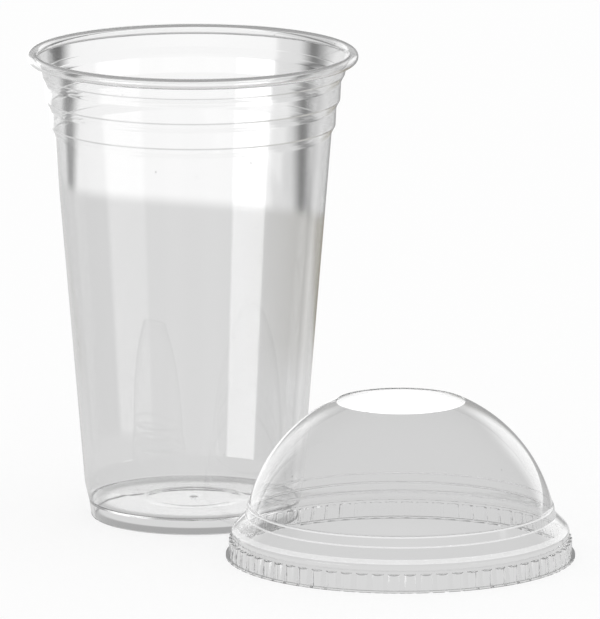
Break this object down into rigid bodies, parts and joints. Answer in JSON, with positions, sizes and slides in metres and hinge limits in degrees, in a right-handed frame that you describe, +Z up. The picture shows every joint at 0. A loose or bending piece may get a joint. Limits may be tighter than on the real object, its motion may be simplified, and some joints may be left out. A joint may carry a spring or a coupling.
{
  "type": "milkshake cup with dome lid",
  "caption": "Tall clear plastic cup with a curled rim and stacking ledges, and its domed press-fit lid with a round straw hole set down beside it.",
  "frame": {"origin": "centre of the cup's foot, on the surface that the cup and the lid stand on", "axes": "+Z up along the cup's axis, the lid stands to the right (+X) and in front (-Y) of the cup"},
  "size_m": [0.1614, 0.1572, 0.14],
  "materials": {
    "clear_plastic": "clear, glossy, formed sheet"
  },
  "bodies": {
    "root": {"cup": "clear_plastic", "dome_lid": "clear_plastic"}
  },
  "joints": []
}
